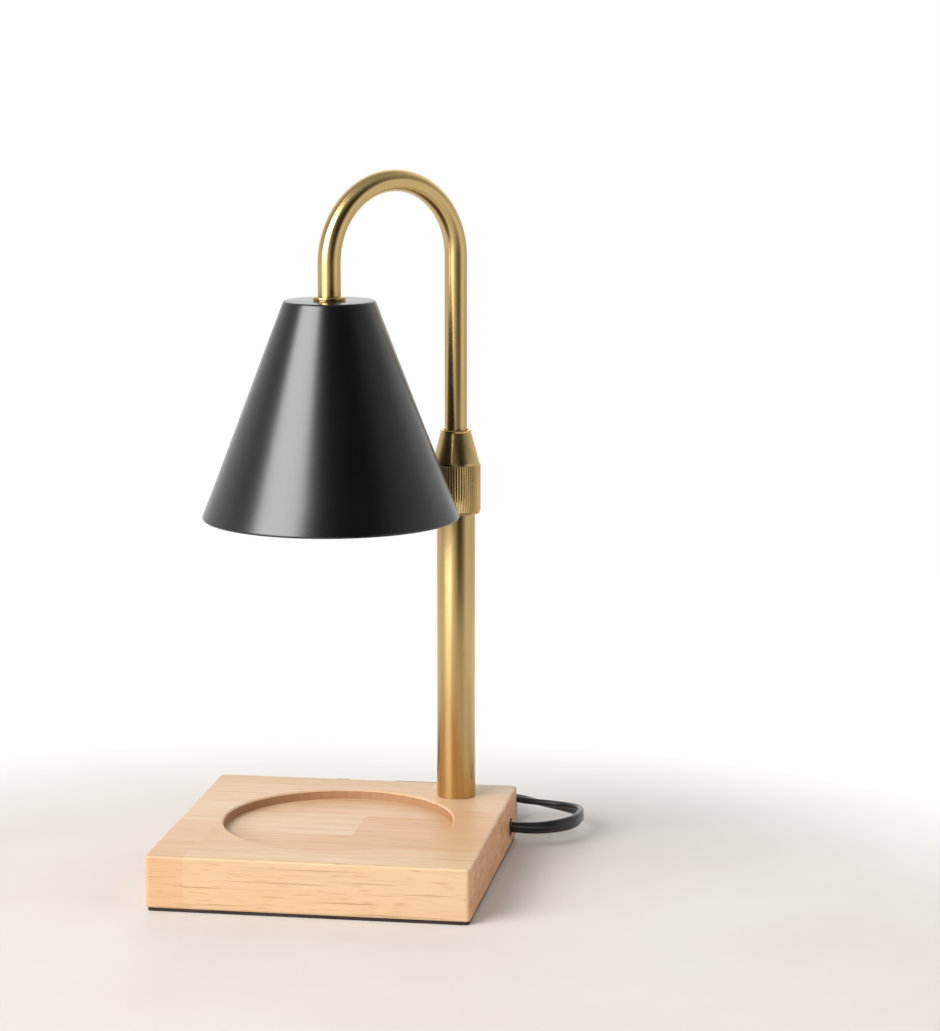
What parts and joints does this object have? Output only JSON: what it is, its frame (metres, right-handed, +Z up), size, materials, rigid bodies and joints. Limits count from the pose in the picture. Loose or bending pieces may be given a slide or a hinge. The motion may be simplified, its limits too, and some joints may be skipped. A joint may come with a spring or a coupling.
{
  "type": "wax_warmer",
  "caption": "Electric candle and wax warmer: a black conical shade with a reflector bulb hangs from a sliding brass swan-neck arm over a recessed wooden base, with a dimmer on its cord.",
  "frame": {"origin": "centre of the underside of the square base", "axes": "+Z up, +X to the right and +Y to the back as seen from the front, where the recess lies in front of the post"},
  "size_m": [0.1617, 0.1902, 0.2878],
  "materials": {
    "wood": "satin",
    "polished_brass": "polished",
    "zinc_steel": "satin",
    "black_paint": "satin",
    "black_plastic": "matte",
    "cord_jacket": "satin",
    "foam_pad": "matte",
    "white_nylon": "satin",
    "white_insulation": "satin",
    "glazed_ceramic": "satin",
    "clear_glass": "gloss",
    "mirror_glass": "gloss",
    "board_green": "satin",
    "tie_cloth": "matte"
  },
  "bodies": {
    "base": {"wood_base": "wood", "foot_pad": "foam_pad", "post_tube": "polished_brass", "post_foot_plug": "zinc_steel", "post_nipple": "zinc_steel", "base_washer": "zinc_steel", "base_nut": "zinc_steel", "collet": "white_nylon", "slack_wire": "white_insulation", "base_wire": "white_insulation", "cord_lead_in": "cord_jacket", "crimp_cap_front": "white_nylon", "crimp_cap_back": "white_nylon", "cord_grip": "black_plastic", "grip_screw_front": "zinc_steel", "grip_screw_back": "zinc_steel", "cord_to_dimmer": "cord_jacket", "cord_to_hank": "cord_jacket", "cord_hank": "cord_jacket", "cord_to_plug": "cord_jacket", "hank_tie": "tie_cloth", "dimmer_bottom_case": "black_plastic", "dimmer_top_case": "black_plastic", "dimmer_board": "board_green", "dimmer_screw_left": "zinc_steel", "dimmer_screw_right": "zinc_steel", "plug_body": "black_plastic", "plug_boot": "black_plastic", "plug_blade_narrow": "polished_brass", "plug_blade_wide": "polished_brass"},
    "slider": {"guide_bush": "white_nylon"},
    "collar": {"locking_collar": "polished_brass"},
    "arm": {"arm_tube": "polished_brass", "lower_stop_ring": "zinc_steel", "upper_stop_ring": "zinc_steel", "arm_wire": "white_insulation", "shade": "black_paint", "shade_washer": "polished_brass", "arm_end_nipple": "zinc_steel", "shade_nut": "zinc_steel", "holder_bracket": "zinc_steel", "bracket_screw_left": "zinc_steel", "bracket_screw_right": "zinc_steel", "lamp_holder": "glazed_ceramic", "contact_left": "polished_brass", "contact_right": "polished_brass"},
    "bulb": {"bulb_neck": "glazed_ceramic", "bulb_pin_left": "zinc_steel", "bulb_pin_right": "zinc_steel", "bulb_reflector": "mirror_glass", "bulb_lens": "clear_glass", "bulb_capsule": "clear_glass"},
    "wheel": {"dimmer_wheel": "black_plastic"}
  },
  "joints": [
    {"name": "height_slide", "type": "slide", "parent": "base", "child": "slider", "axis": [0, 0, 1], "range_m": [-0.06, 0.02], "deforming": ["slack_wire"]},
    {"name": "arm_swivel", "type": "hinge", "parent": "slider", "child": "arm", "pos_m": [0.0417, 0.0457, 0.11], "axis": [0, 0, 1], "range_deg": [-180, 180]},
    {"name": "collar_turn", "type": "hinge", "parent": "base", "child": "collar", "pos_m": [0.0417, 0.0457, 0.155], "axis": [0, 0, 1], "range_deg": [0, 180]},
    {"name": "bulb_twist", "type": "hinge", "parent": "arm", "child": "bulb", "pos_m": [-0.00187, -0.00118, 0.199], "axis": [0, 0, 1], "range_deg": [0, 25]},
    {"name": "dimmer_wheel_turn", "type": "hinge", "parent": "base", "child": "wheel", "pos_m": [0.019, 0.092, 0.0048], "axis": [0, 0, 1], "range_deg": [0, 270]}
  ]
}
